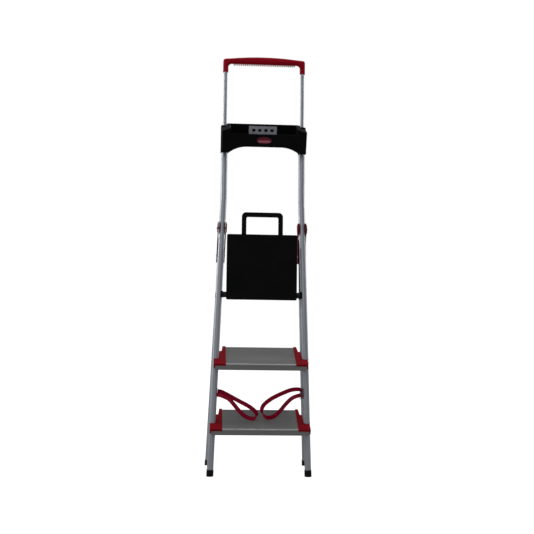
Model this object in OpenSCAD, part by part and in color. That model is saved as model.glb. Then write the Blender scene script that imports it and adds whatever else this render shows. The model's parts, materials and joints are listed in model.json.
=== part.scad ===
// Household step ladder: two treads, a folding platform, a tool tray and a telescopic guard rail.
// It stands part folded on its four feet. X is across the ladder, -Y is the climbing side, +Z is up.
// Lengths are in millimetres. The origin is on the floor under the middle of the whole outline.
//
// Front frame pieces are drawn in a "stile frame": z runs up the stiles from the soles, y is square to
// the stiles towards the rear. Rear frame pieces are drawn in a "leg frame" with the main pivot as its
// origin and z running up the rear legs.

/* [Stance] */
// Backward lean of the front frame as it stands part folded, in degrees
lean = 5.5; // [5:0.1:6]
// Backward lean of the front frame when the ladder is fully open, in degrees
open_lean = 24; // [23:0.25:24.5]
// Distance from the soles to the main pivot
leg_len = 956; // [950:1:960]
// How far each rear leg's axis lies behind the main pivot
leg_offset = 30; // [29:0.5:32]

/* [Tubes] */
// Outside diameter of the stiles and of the rear legs
tube_d = 25; // [24:0.5:25]
// Wall thickness of the stiles and of the rear legs
tube_wall = 1.2; // [1:0.1:1.5]
// Half the distance between the stile axes at the floor
foot_half = 188.5; // [186:0.5:190]
// Half the distance between the stile axes above their bend
top_half = 153.3; // [153:0.1:154]
// Height of the bend, measured up the stile
bend_s = 1075; // [1065:1:1080]
// Height of the stiles' upper ends, measured up the stile
stile_top = 1350; // [1345:1:1352]

/* [Treads] */
// Height of each tread's front edge, measured up the stile
tread_s = [181, 427];
// Depth of a tread from front to back
tread_depth = 162; // [158:1:163]
// Height of a tread's front flange
tread_drop = 26; // [23:1:27]
// Half the width of the bare metal between the caps, lower and upper tread
bare_half = [145, 134.6];
// Half the outside width of the caps at the front, lower and upper tread
cap_half = [192, 181];
// Half the width of the caps' rear ends, which pass between the rear legs
cap_rear_half = [160, 151];

/* [Tray] */
// Outside width of the tray
tray_w = 333; // [331:1:334]
// Depth of the tray from front to back
tray_d = 130; // [124:1:132]

/* [Guard rail] */
// Outside diameter of the rail tubes
rail_d = 14.6; // [14:0.1:15]
// How far the rail is pulled out: height of the grip's underside, measured up the stile
grip_s = 1618; // [1600:1:1625]

/* [Platform] */
// Width of the platform panel
panel_w = 275.4; // [272:0.2:276]
// Length of the platform panel
panel_len = 256; // [250:1:257]
// Height of the platform tube's axis, measured up the stile
hinge_s = 696; // [695:1:697]
// Outside diameter of the platform tube
hinge_tube_d = 21; // [20:0.5:21]

/* [Straps] */
// Width of the webbing
strap_w = 16; // [14:1:18]
// Thickness of the webbing
strap_t = 2; // [1.5:0.5:2.5]

/* [Hidden] */
$fn = 48;
eps = 0.01;
sides = [-1, 1];

tube_r = tube_d/2;
bore_r = tube_r - tube_wall;
flare = atan((foot_half - top_half)/bend_s);
rear_lean = lean - atan(leg_offset/leg_len);
pivot_y = leg_len*sin(lean);
pivot_z = leg_len*cos(lean);
// Shift that puts the origin under the middle of the outline
shift_y = -78.7546;

// Rear leg layout, in the leg frame
bar_drop = 267.5;
arm_flare = 1.95;
arm_bar_x = top_half + (foot_half - top_half)*(bend_s - leg_len)/bend_s + bar_drop*tan(arm_flare);
leg_flare = 2.5;
leg_floor = leg_len*cos(atan(leg_offset/leg_len));
rear_foot_x = arm_bar_x + (leg_floor - bar_drop)*tan(leg_flare);

function stile_x(s) = s > bend_s ? top_half : top_half + (foot_half - top_half)*(bend_s - s)/bend_s;
function leg_x(drop) = arm_bar_x + (drop - bar_drop)*tan(leg_flare);

module in_stile_frame() { translate([0, shift_y, 0]) rotate([-lean, 0, 0]) children(); }
module in_leg_frame() { translate([0, pivot_y + shift_y, pivot_z]) rotate([rear_lean, 0, 0]) children(); }
// Everything below the floor plane, used to cut the soles
module below_floor() { translate([-400, -600, -100]) cube([800, 1200, 100]); }
// A round bar along X
module bar_x(r, x0, x1) { translate([x0, 0, 0]) rotate([0, 90, 0]) cylinder(r = r, h = x1 - x0); }
// A box given by its two opposite corners
module slab(a, b) { translate(a) cube(b - a); }
// A rectangle with four round corners
module round_rect(w, h, r) {
    square([w - 2*r, h], center = true);
    square([w, h - 2*r], center = true);
    for (x = sides, y = sides) translate([x*(w/2 - r), y*(h/2 - r)]) circle(r);
}

// ---- Front frame ---------------------------------------------------------------------------------

// The lower, flared length of a stile's axis, as a cylinder that may run on above the bend
module lower_run(side, r, low, over) {
    length = (bend_s - low)/cos(flare);
    rotate([0, -side*flare, 0]) translate([0, 0, -length]) cylinder(r = r, h = length + over);
}
// A block on one side of the mitre plane that halves the bend
module mitre_block(side, up) {
    rotate([0, -side*flare/2, 0]) translate([-60, -60, up ? 0 : -120]) cube([120, 120, 120]);
}

pin_r = 4;
sole = 6;
module stile(side) {
    color([0.62, 0.64, 0.67])
    in_stile_frame() difference() {
        translate([side*top_half, 0, bend_s]) {
            difference() {
                lower_run(side, tube_r, sole, 10);
                lower_run(side, bore_r, sole - 5, 20);
                mitre_block(side, true);
            }
            difference() {
                translate([0, 0, -10]) cylinder(r = tube_r, h = stile_top - bend_s + 10);
                translate([0, 0, -20]) cylinder(r = bore_r, h = stile_top - bend_s + 40);
                mitre_block(side, false);
            }
        }
        translate([side*stile_x(leg_len), 0, leg_len]) bar_x(pin_r + 0.05, -20, 20);
    }
}

// A cup foot: its sole has one flat for this stance and one for the fully open stance
foot_d = 27.6;
foot_h = 24;
foot_grooves = [6.5, 18];
groove_h = 1.6;
groove_depth = 0.6;
// Extra length below the floor, which the flats then cut away
foot_over = 4;
module foot_body(spin) {
    rotate([0, spin, 0]) difference() {
        translate([0, 0, -foot_over]) cylinder(d = foot_d, h = foot_h + foot_over);
        translate([0, 0, sole]) cylinder(r = tube_r + 0.05, h = foot_h);
        for (groove = foot_grooves) translate([0, 0, groove]) rotate_extrude()
            translate([foot_d/2 - groove_depth, 0]) square([2, groove_h]);
    }
}
// The space under a floor plane that is tilted by an angle and passes through the origin
module under_tilted_floor(tilt) { rotate([tilt, 0, 0]) translate([-50, -50, -60]) cube([100, 100, 60]); }
module front_foot(side) {
    color([0.06, 0.06, 0.06])
    difference() {
        in_stile_frame() translate([side*foot_half, 0, 0]) difference() {
            foot_body(-side*flare);
            under_tilted_floor(open_lean);
        }
        below_floor();
    }
}

// Tread frame: x across, y back along the tread, z up from its top face; y = 0 is its front edge
tread_front_t = -54.4;
stile_in_tread = -tread_front_t/cos(open_lean);
module in_tread_frame(i) {
    in_stile_frame() translate([0, tread_front_t, tread_s[i]]) rotate([open_lean, 0, 0]) children();
}
// The stile axis in the tread frame, as a cylinder long enough to cut through a tread
module stile_cutter(i, side, clearance) {
    s = tread_s[i] + 24;
    translate([side*stile_x(s), stile_in_tread, 0]) rotate([-open_lean, 0, 0]) rotate([0, -side*flare, 0])
        translate([0, 0, -80]) cylinder(r = tube_r + clearance, h = 160);
}
skin = 2;
rib_pitch = 4.75;
rib_gap = 1.6;
rib_h = 0.8;
rib_margin = 5;
flange_lip = 9;
web_t = 1.8;
web_h = 11;
web_y = [50, 100];
notch_front = 42;
metal_inset = 5.5;
// How far back the tread and its caps step in to pass between the rear legs
step_y = 0.72*tread_depth;
module tread_profile() {
    difference() {
        translate([0, -tread_drop]) square([tread_depth, tread_drop]);
        translate([skin, -tread_drop - 1]) square([tread_depth - 2*skin, tread_drop - skin - rib_h + 1]);
        // fine grooves along the top face
        for (y = [rib_margin:rib_pitch:tread_depth - rib_margin])
            translate([y, -rib_h]) square([rib_gap, 1]);
    }
    // inward lips of both flanges and two stiffening webs
    for (y = [0, tread_depth - flange_lip]) translate([y, -tread_drop]) square([flange_lip, web_t]);
    for (y = web_y) translate([y, -web_h - 1]) square([web_t, web_h]);
}
module tread(i) {
    color([0.55, 0.55, 0.56])
    in_tread_frame(i) difference() {
        rotate([90, 0, 90]) translate([0, 0, -(cap_half[i] - metal_inset)])
            linear_extrude(2*(cap_half[i] - metal_inset)) tread_profile();
        for (side = sides) {
            notch_x = stile_x(tread_s[i]) - tube_r - 6;
            mirror([side < 0 ? 1 : 0, 0, 0]) {
                slab([notch_x, notch_front, -tread_drop - 1], [220, tread_depth + 1, 1]);
                slab([cap_rear_half[i] - 3, step_y, -tread_drop - 1], [220, tread_depth + 1, 1]);
            }
        }
    }
}

// A red end cap: a plate on the tread's end that steps in around the stile, with a lip on every side
cap_top = 1.6;
lip = 2.4;
lip_low = -6;
end_wall_low = -17;
saddle_low = -14;
rear_taper = 4;
inner_wall = 4.6;
// The caps' inner faces beside the stiles
function cap_inner_x(i) = stile_x(tread_s[i]) - tube_r - 1.2;
module cap_outline(i, grow) {
    polygon([[bare_half[i], -grow], [cap_half[i], -grow], [cap_half[i], notch_front + 1],
             [cap_inner_x(i), notch_front + 1], [cap_inner_x(i), step_y], [cap_rear_half[i], step_y + 1],
             [cap_rear_half[i] - rear_taper, tread_depth + grow], [bare_half[i], tread_depth + grow]]);
}
module cap(i, side) {
    color([0.5, 0.02, 0.06])
    in_tread_frame(i) mirror([side < 0 ? 1 : 0, 0, 0]) difference() {
        union() {
            translate([0, 0, 0.02]) linear_extrude(cap_top) cap_outline(i, lip);
            // front lip, rear lip and outer end walls
            slab([bare_half[i], -lip, lip_low], [cap_half[i], -0.05, 1]);
            slab([bare_half[i], tread_depth + 0.05, lip_low],
                 [cap_rear_half[i] - rear_taper, tread_depth + lip, 1]);
            slab([cap_half[i] - metal_inset + 0.2, -lip, end_wall_low], [cap_half[i], notch_front + 1, 1]);
            slab([cap_inner_x(i) - inner_wall, notch_front + 0.5, -tread_drop],
                 [cap_inner_x(i), step_y - 1, 1]);
            // saddle that holds the front of the stile
            slab([cap_inner_x(i) - inner_wall, notch_front - 4, saddle_low],
                 [cap_half[i], notch_front + 5, 1]);
        }
        stile_cutter(i, 1, 0.1);
        // room for the tread's metal under the plate
        slab([bare_half[i] - 1, -0.04, -30], [cap_half[i] - metal_inset + 0.1, notch_front + 0.1, 0]);
    }
}

// Rivets through the stiles that hold the caps and treads: two per joint
rivet_r = 3;
tread_rivet_up = [6, 22];
module rivet_head(r) {
    intersection() {
        translate([0, 0, -1.2*r]) sphere(1.6*r + 0.2);
        translate([-10, -10, 0]) cube([20, 20, 10]);
    }
}
module tread_rivets() {
    color([0.75, 0.76, 0.78])
    in_stile_frame() for (i = [0, 1], side = sides, up = tread_rivet_up) {
        s = tread_s[i] + up;
        translate([side*stile_x(s), 0, s]) rotate([0, side*90, 0])
            translate([0, 0, tube_r + 0.1]) rivet_head(rivet_r);
    }
}

// Tray frame: x across, y back, z up when the ladder is open; its origin is on the stile axes
tray_s = 1300;
tray_front = -68;
module in_tray_frame() { in_stile_frame() translate([0, 0, tray_s]) rotate([open_lean, 0, 0]) children(); }
tray_corner = 9;
tray_wall = 3;
// Heights of the rim: in front between the end blocks, in front on the blocks, and at the back
rim_front = 45.6;
block_front = 66;
rim_back = 63.2;
// The rim's rear corners slope down towards both ends
corner_from = 139;
corner_drop = 8;
corner_far = tray_w - corner_from;
apron = -29.4;
floor_z = 9;
floor_t = 3;
pocket_half = 130;
// Height inside the hollow end blocks
block_roof = 48;
socket_r = 15.5;
socket_low = 1256;
socket_high = 1363;
tray_screw_s = 1264;
tray_screw_r = 1.6;
arch_flat = 66;
arch_end = 137;
arch_z = -4.7;
// Radius of the arch's shoulders, which run level in the middle and meet the apron's lower edge
arch_r = ((arch_end - arch_flat)*(arch_end - arch_flat) + (arch_z - apron)*(arch_z - apron))
         /(2*(arch_z - apron));
module tray_footprint(shrink) {
    translate([0, tray_front + tray_d/2])
        round_rect(tray_w - 2*shrink, tray_d - 2*shrink, tray_corner - shrink);
}
// Side view of the tray's end blocks; the underside rises behind the apron
module tray_side() {
    back = tray_front + tray_d;
    polygon([[tray_front - 1, apron], [tray_front + 26, apron], [tray_front + 60, -6],
             [back + 1, 2], [back + 1, rim_back], [tray_front - 1, block_front]]);
}
module tray() {
    color([0.05, 0.05, 0.05])
    difference() {
        union() {
            in_tray_frame() difference() {
                intersection() {
                    translate([0, 0, apron]) linear_extrude(110) tray_footprint(0);
                    rotate([90, 0, 90]) translate([0, 0, -200]) linear_extrude(400) tray_side();
                }
                for (side = sides) rotate([90, 0, 0]) translate([0, 0, -100]) linear_extrude(200)
                    polygon([[side*corner_from, rim_back], [side*corner_from, rim_back + 20],
                             [side*corner_far, rim_back + 20], [side*corner_far, rim_back - 2*corner_drop]]);
                // the pocket, and the low front rim between the end blocks
                translate([0, tray_front + tray_d/2, floor_z]) linear_extrude(90)
                    round_rect(2*pocket_half, tray_d - 2*tray_wall, 7);
                slab([-pocket_half, tray_front - 1, rim_front], [pocket_half, tray_front + 20, 100]);
                // the arch under the front apron
                intersection() {
                    rotate([90, 0, 0]) translate([0, 0, -100]) linear_extrude(200) {
                        translate([-arch_flat, apron - 40]) square([2*arch_flat, arch_z - apron + 40]);
                        for (side = sides) translate([side*arch_flat, arch_z - arch_r])
                            circle(arch_r, $fn = 96);
                    }
                    slab([-arch_end, -100, apron - 30], [arch_end, 100, 0]);
                }
                // hollow under the floor, behind the apron, and inside the end blocks
                slab([-pocket_half, tray_front + tray_wall, apron - 1],
                     [pocket_half, tray_front + tray_d - tray_wall, floor_z - floor_t]);
                for (side = sides) mirror([side < 0 ? 1 : 0, 0, 0])
                    slab([pocket_half + tray_wall, tray_front + tray_wall, apron - 1],
                         [tray_w/2 - tray_wall, tray_front + tray_d - tray_wall, block_roof]);
            }
            in_stile_frame() for (side = sides) translate([side*top_half, 0, socket_low])
                cylinder(r = socket_r, h = socket_high - socket_low);
        }
        in_stile_frame() for (side = sides) translate([side*top_half, 0, 0]) {
            translate([0, 0, socket_low - 60])
                cylinder(r = tube_r + 0.08, h = stile_top + 0.3 - socket_low + 60);
            translate([0, 0, stile_top]) cylinder(r = bush_r + 0.2, h = 120);
            translate([0, socket_r + 1, tray_screw_s]) rotate([90, 0, 0])
                cylinder(r = tray_screw_r + 0.1, h = 4);
        }
    }
}

plate_w = 112;
plate_h = 33.5;
plate_z = 38.8;
plate_pitch = 24.5;
plate_window = [13, 11];
module tray_plate() {
    color([0.5, 0.5, 0.52])
    in_tray_frame() translate([0, tray_front + tray_d - tray_wall - 0.02, plate_z]) rotate([90, 0, 0])
        linear_extrude(1) difference() {
            round_rect(plate_w, plate_h, 1.5);
            for (k = [-1.5:1:1.5]) translate([k*plate_pitch, 0])
                round_rect(plate_window[0], plate_window[1], 2);
        }
}

badge_w = 60;
badge_h = 25;
module tray_badge() {
    color([0.5, 0.02, 0.08])
    in_tray_frame() translate([0, tray_front - 0.02, 21]) rotate([90, 0, 0]) linear_extrude(1.6)
        intersection() {
            // a pointed oval: the overlap of two large circles
            lens_r = (badge_w*badge_w + badge_h*badge_h)/(4*badge_h);
            translate([0, badge_h/2 - lens_r]) circle(lens_r, $fn = 120);
            translate([0, lens_r - badge_h/2]) circle(lens_r, $fn = 120);
            square([badge_w - 3, badge_h], center = true);
        }
}

recess_w = 1;
recess_depth = 0.9;
module screw(head_r, head_h, shank_r, length) {
    difference() {
        cylinder(r = head_r, h = head_h);
        // cross recess
        for (turn = [0, 90]) rotate([0, 0, turn])
            translate([-head_r*0.6, -recess_w/2, head_h - recess_depth]) cube([head_r*1.2, recess_w, 2]);
    }
    translate([0, 0, -length]) cylinder(r = shank_r, h = length + eps);
}
module tray_screws() {
    color([0.3, 0.3, 0.3])
    in_stile_frame() for (side = sides) translate([side*top_half, socket_r + 0.02, tray_screw_s])
        rotate([-90, 0, 0]) screw(4, 1.8, tray_screw_r, 2);
}

rail_r = rail_d/2;
bush_r = 10.3;
bush_depth = 18;
module rail_bush(side) {
    color([0.08, 0.08, 0.08])
    in_stile_frame() translate([side*top_half, 0, stile_top]) difference() {
        union() {
            translate([0, 0, -bush_depth]) cylinder(r = bore_r - 0.03, h = bush_depth + 0.2);
            translate([0, 0, 0.1]) cylinder(r = bush_r, h = socket_high - stile_top + 1.5);
        }
        translate([0, 0, -30]) cylinder(r = rail_r + 0.08, h = 60);
    }
}

module platform_tube() {
    half = stile_x(hinge_s) - tube_r - 1;
    color([0.05, 0.05, 0.05])
    in_stile_frame() translate([0, 0, hinge_s]) difference() {
        bar_x(hinge_tube_d/2, -half, half);
        bar_x(hinge_tube_d/2 - 1.5, -half - 1, half + 1);
    }
}
// A moulded saddle that plugs the end of the platform tube and hugs the stile
saddle_half = 12.5;
module tube_saddle(side) {
    color([0.08, 0.08, 0.08])
    in_stile_frame() difference() {
        translate([side*stile_x(hinge_s), 0, hinge_s]) mirror([side > 0 ? 1 : 0, 0, 0]) {
            slab([2, -11, -saddle_half], [tube_r + 3.5, 11, saddle_half]);
            bar_x(hinge_tube_d/2 - 1.55, tube_r + 1, tube_r + 22);
        }
        translate([side*top_half, 0, bend_s]) lower_run(side, tube_r + 0.08, 400, 0);
        translate([side*stile_x(hinge_s), 0, hinge_s]) mirror([side > 0 ? 1 : 0, 0, 0]) difference() {
            bar_x(hinge_tube_d/2 + 0.05, tube_r + 0.95, tube_r + 30);
            bar_x(hinge_tube_d/2 - 1.55, tube_r, tube_r + 31);
        }
    }
}

cheek = 3;
cheek_gap = 27;
boss = 2.2;
module pivot_pin(side) {
    reach = cheek_gap/2 + cheek + boss;
    color([0.7, 0.7, 0.72])
    in_stile_frame() translate([side*stile_x(leg_len), 0, leg_len]) mirror([side < 0 ? 1 : 0, 0, 0]) {
        bar_x(pin_r, -reach, reach + 0.3);
        translate([reach + 0.3, 0, 0]) rotate([0, 90, 0]) rivet_head(6.5);
    }
}

// Route of each strap: from its rivet on the front stile, round a slack loop that rests on the lower
// tread, to its rivet on the rear leg. The numbers are x, y, z, measured from under the front soles.
left_route = [[-160, 31, 320.5], [-147, 24, 318], [-112, 17, 301], [-78, 11, 284], [-43, 8, 266],
              [-20, 9, 248], [-12, 14, 232], [-18, 20, 219], [-35, 27, 217], [-55, 35, 223],
              [-77, 48, 240], [-98, 66, 262], [-118, 92, 280], [-144, 124, 288], [-167, 158, 289.5]];
right_route = [[160, 31, 324], [150, 24, 331], [120, 15, 330], [89, 10, 319], [58, 6, 305],
               [33, 5, 290], [13, 8, 271], [6, 13, 250], [13, 19, 231], [32, 26, 220],
               [56, 33, 225], [79, 48, 242], [105, 74, 267], [133, 108, 285], [167, 158, 289.5]];
// Points per leg of the route
strap_steps = 4;
function spline(a, b, c, d, u) =
    0.5*(2*b + (c - a)*u + (2*a - 5*b + 4*c - d)*u*u + (3*b - a - 3*c + d)*u*u*u);
function route_point(p, k, u) =
    spline(p[max(k - 1, 0)], p[k], p[k + 1], p[min(k + 2, len(p) - 1)], u);
function smooth_route(p) = concat(
    [for (k = [0:len(p) - 2], j = [0:strap_steps - 1]) route_point(p, k, j/strap_steps)],
    [p[len(p) - 1]]);
function unit(v) = v/norm(v);
// The webbing stands on edge: its width follows the normal of the plane that the loop lies in
loop_normal = [0.5, 0.17, 0.85];
function strap_ring(p, k, side) =
    let (along = unit(p[min(k + 1, len(p) - 1)] - p[max(k - 1, 0)]),
         thin = unit(cross(along, [-side*loop_normal[0], loop_normal[1], loop_normal[2]])),
         wide = unit(cross(thin, along)))
    [for (c = [[-1, -1], [1, -1], [1, 1], [-1, 1]]) p[k] + c[0]*wide*strap_w/2 + c[1]*thin*strap_t/2];
module strap(route, side) {
    p = smooth_route(route);
    n = len(p);
    points = [for (k = [0:n - 1]) each strap_ring(p, k, side)];
    // two triangles for each of the four sides between one ring and the next
    near = [for (k = [0:n - 2], c = [0:3]) [4*k + c, 4*k + 4 + c, 4*k + 4 + (c + 1)%4]];
    far = [for (k = [0:n - 2], c = [0:3]) [4*k + c, 4*k + 4 + (c + 1)%4, 4*k + (c + 1)%4]];
    ends = [[0, 1, 2], [0, 2, 3], [4*n - 1, 4*n - 2, 4*n - 3], [4*n - 1, 4*n - 3, 4*n - 4]];
    faces = concat(near, far, ends);
    color([0.45, 0.02, 0.08])
    translate([0, shift_y, 0]) polyhedron(points, faces);
}

front_anchor_s = 322;
washer_h = 1.2;
module anchor(tilt) {
    rotate([0, tilt, 0]) {
        cylinder(r = 6.5, h = washer_h);
        translate([0, 0, washer_h - eps]) rivet_head(3.2);
    }
}
module front_strap_anchors() {
    color([0.7, 0.7, 0.72])
    in_stile_frame() for (side = sides)
        translate([side*(stile_x(front_anchor_s) - tube_r - 0.5), 0, front_anchor_s]) anchor(-side*90);
}

// ---- Rear frame ----------------------------------------------------------------------------------

bracket_len = 138;
bracket_rivet_drop = 110;
bracket_rivet_r = 2.5;
bracket_back = leg_offset + tube_r + 3;
bracket_front = leg_offset - tube_r - 1;
// A U-shaped bracket: two cheeks with round pivot heads, joined by a web behind the leg
module bracket_side() {
    polygon([[-17, 6], [-15, -12], [bracket_front, -62], [bracket_front, -bracket_len],
             [bracket_back, -bracket_len], [bracket_back, -34], [17, 8]]);
    translate([0, 4]) circle(20);
}
module bracket(side) {
    color([0.42, 0.03, 0.08])
    in_leg_frame() translate([side*stile_x(leg_len), 0, 0]) rotate([0, -side*arm_flare, 0]) difference() {
        union() {
            for (x = [-cheek_gap/2 - cheek, cheek_gap/2]) translate([x, 0, 0])
                rotate([90, 0, 90]) linear_extrude(cheek) bracket_side();
            for (x = [-cheek_gap/2 - cheek - boss, cheek_gap/2 + cheek - eps]) translate([x, 0, 0])
                bar_x(18, 0, boss + eps);
            slab([-cheek_gap/2 - eps, bracket_back - cheek, -bracket_len],
                 [cheek_gap/2 + eps, bracket_back, -42]);
        }
        rotate([0, side*arm_flare, 0]) bar_x(pin_r + 0.06, -40, 40);
        translate([0, leg_offset, -bracket_rivet_drop]) bar_x(bracket_rivet_r + 0.1, -40, 40);
    }
}

arm_top = 52;
module arm_line(side) {
    translate([side*stile_x(leg_len), leg_offset, 0]) rotate([0, -side*arm_flare, 0]) children();
}
// The black upper length of a rear leg, between the bracket and the cross bar
module rear_arm(side) {
    color([0.05, 0.05, 0.06])
    in_leg_frame() difference() {
        arm_line(side) translate([0, 0, -bar_drop]) cylinder(r = tube_r - 0.2, h = bar_drop - arm_top);
        arm_line(side) translate([0, 0, -bar_drop + 20]) cylinder(r = bore_r - 0.2, h = bar_drop);
        arm_line(side) translate([0, 0, -bracket_rivet_drop]) bar_x(bracket_rivet_r + 0.1, -40, 40);
    }
}
module leg_line(side) {
    translate([side*arm_bar_x, leg_offset, -bar_drop]) rotate([0, -side*leg_flare, 0]) children();
}
leg_straight = (leg_floor - bar_drop)/cos(leg_flare);
module rear_leg(side) {
    color([0.62, 0.64, 0.67])
    in_leg_frame() leg_line(side) difference() {
        translate([0, 0, -leg_straight + sole]) cylinder(r = tube_r, h = leg_straight - sole - 12.5);
        translate([0, 0, -leg_straight - 20]) cylinder(r = bore_r, h = leg_straight + 40);
    }
}
module rear_foot(side) {
    color([0.06, 0.06, 0.06])
    difference() {
        in_leg_frame() translate([side*rear_foot_x, leg_offset, -leg_floor]) difference() {
            foot_body(-side*leg_flare);
            under_tilted_floor(-open_lean + atan(leg_offset/leg_len));
        }
        below_floor();
    }
}
// The black cross bar that the platform lands on, with a collar on each arm
rear_bar_r = 8;
rear_bar_y = leg_offset - 6;
collar_wall = 0.9;
collar_low = -12;
collar_h = 22;
module rear_bar() {
    half = arm_bar_x - tube_r + 3;
    color([0.05, 0.05, 0.05])
    in_leg_frame() difference() {
        union() {
            translate([0, rear_bar_y, -bar_drop]) bar_x(rear_bar_r, -half, half);
            for (side = sides) leg_line(side) translate([0, 0, collar_low])
                cylinder(r = tube_r + collar_wall, h = collar_h);
        }
        for (side = sides) {
            leg_line(side) translate([0, 0, -40]) cylinder(r = tube_r + 0.02, h = 40);
            arm_line(side) translate([0, 0, -bar_drop]) cylinder(r = tube_r + 0.02, h = 60);
        }
    }
}
brace_r = 8;
brace_wall = 1.2;
brace_drop = [531, 781];
module rear_brace(i) {
    half = leg_x(brace_drop[i]) - tube_r - 0.6;
    color([0.6, 0.62, 0.65])
    in_leg_frame() translate([0, leg_offset, -brace_drop[i]]) difference() {
        bar_x(brace_r, -half, half);
        bar_x(brace_r - brace_wall, -half - 1, half + 1);
    }
}
module bracket_rivets() {
    reach = cheek_gap/2 + cheek;
    color([0.7, 0.7, 0.72])
    in_leg_frame() for (side = sides) arm_line(side) translate([0, 0, -bracket_rivet_drop]) {
        bar_x(bracket_rivet_r, -reach - 0.1, reach + 0.1);
        for (out = sides) rotate([0, out*90, 0]) translate([0, 0, reach + 0.05]) rivet_head(3.4);
    }
}
strap_drop = 664;
module rear_strap_anchors() {
    color([0.7, 0.7, 0.72])
    in_leg_frame() for (side = sides)
        translate([side*(leg_x(strap_drop) - tube_r - 0.5), leg_offset, -strap_drop]) anchor(-side*90);
}

// ---- Platform ------------------------------------------------------------------------------------

// Panel frame: z runs up the folded panel from the hinge tube's axis, y = 0 is that axis
module in_panel_frame() { in_stile_frame() translate([0, 0, hinge_s]) children(); }
panel_low = -21;
panel_face = -16;
panel_skin = 5;
panel_rib = 3;
rib_end = 190;
rib_half = 120;
rib_low = 16;
rib_back = -2;
barrel_r = 13.4;
barrel_half = 22;
barrel_x = 96;
bail_w = 161.7;
bail_bar = 18.2;
bail_x = bail_w/2 - bail_bar/2;
module panel_shape(w, low, high, r) {
    translate([0, (low + high)/2]) round_rect(w, high - low, r);
}
module platform_panel() {
    top = panel_low + panel_len;
    color([0.04, 0.04, 0.04])
    in_panel_frame() difference() {
        union() {
            translate([0, panel_face + panel_skin, 0]) rotate([90, 0, 0])
                linear_extrude(panel_skin) panel_shape(panel_w, panel_low, top, 6);
            // lengthwise and crosswise ribs under the panel
            for (x = [-rib_half:rib_half/3:rib_half])
                slab([x - panel_rib/2, panel_face + 2, rib_low], [x + panel_rib/2, rib_back, rib_end]);
            for (z = [44:48.6:rib_end])
                slab([-rib_half, panel_face + 2, z - panel_rib/2], [rib_half, rib_back, z + panel_rib/2]);
            // skirt along both sides
            for (side = sides) slab([side*(panel_w/2 - 5) - panel_rib/2, panel_face + 2, -12],
                                    [side*(panel_w/2 - 5) + panel_rib/2, rib_back, rib_end]);
            // hinge barrels
            for (x = [-barrel_x, 0, barrel_x]) {
                bar_x(barrel_r, x - barrel_half, x + barrel_half);
                slab([x - barrel_half, panel_face + 1, -barrel_r], [x + barrel_half, 0, barrel_r]);
            }
            // socket that holds the bail's legs
            for (side = sides) slab([side*bail_x - 12, panel_face + 2, rib_end - 4],
                                    [side*bail_x + 12, rib_back - 1, 206]);
        }
        bar_x(hinge_tube_d/2 + 0.07, -200, 200);
        // each outer barrel is open at the rear, where its clip goes
        for (x = [-barrel_x, barrel_x]) slab([x - 12, 4, -20], [x + 12, 20, 20]);
        // grooves that let the bail's legs lie flush under the face
        for (side = sides) slab([side*bail_x - bail_bar/2 - 0.1, bail_front - 0.05, bail_low - 0.5],
                                [side*bail_x + bail_bar/2 + 0.1, bail_front + 6.6, top + 1]);
        // fine grip grooves across the face
        for (z = [12:16:220]) slab([-128, panel_face - 1, z], [128, panel_face + 0.5, z + 1.2]);
    }
}
// The bail: a flat U whose legs are screwed under the panel
bail_crossbar = 18.4;
bail_low = 150.5;
bail_top = 322.5;
bail_corner = 17;
bail_t = 5;
bail_front = panel_face + panel_skin - 1.55;
bail_screw_z = 170;
module platform_bail() {
    inner = bail_w - 2*bail_bar;
    color([0.06, 0.06, 0.06])
    in_panel_frame() translate([0, bail_front + bail_t, 0]) rotate([90, 0, 0]) linear_extrude(bail_t)
        difference() {
            translate([0, (bail_low + bail_top)/2]) round_rect(bail_w, bail_top - bail_low, bail_corner);
            translate([0, (120 + bail_top - bail_crossbar)/2])
                round_rect(inner, bail_top - bail_crossbar - 120, 6);
            translate([0, bail_low]) square([inner, 60], center = true);
            for (side = sides) translate([side*bail_x, bail_screw_z]) circle(2.1, $fn = 24);
        }
}
module hinge_clip(side) {
    color([0.1, 0.1, 0.1])
    in_panel_frame() translate([side*barrel_x, 0, 0]) difference() {
        union() {
            bar_x(barrel_r - 0.05, -11.5, 11.5);
            slab([-11.5, 6, -13.5], [11.5, 9.5, 13.5]);
        }
        bar_x(hinge_tube_d/2 + 0.08, -30, 30);
        slab([-30, -20, -30], [30, 4.1, 30]);
    }
}
module platform_screws() {
    color([0.35, 0.35, 0.36])
    in_panel_frame() for (side = sides) translate([side*bail_x, bail_front + bail_t + 0.05, bail_screw_z])
        rotate([-90, 0, 0]) screw(3.8, 1.6, 2, bail_t + 0.02);
}

// ---- Guard rail ----------------------------------------------------------------------------------

sleeve_r = 10.5;
sleeve_low = 1582.5;
rail_rivet_s = 1595;
rail_rivet_r = 1.5;
rail_low = 1300;
rail_high = 1606;
module rail_tube(side) {
    color([0.66, 0.68, 0.7])
    in_stile_frame() translate([side*top_half, 0, rail_low]) difference() {
        cylinder(r = rail_r, h = rail_high - rail_low);
        translate([0, 0, -1]) cylinder(r = rail_r - 1, h = rail_high - rail_low + 2);
        translate([0, 0, rail_rivet_s - rail_low]) rotate([0, 0, 90]) bar_x(rail_rivet_r + 0.1, -20, 20);
    }
}
module rail_glide(side) {
    color([0.1, 0.1, 0.1])
    in_stile_frame() translate([side*top_half, 0, rail_low - 3]) difference() {
        cylinder(r = bore_r - 0.3, h = 26);
        translate([0, 0, 3]) cylinder(r = rail_r + 0.02, h = 40);
    }
}
grip_depth = 24;
grip_half = top_half + sleeve_r;
grip_crown = 1646;
grip_end = 1634;
inner_corner = 15;
fin_end = 112.5;
fin_pitch = 7.5;
fin_t = 2.4;
fin_h = 7;
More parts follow.
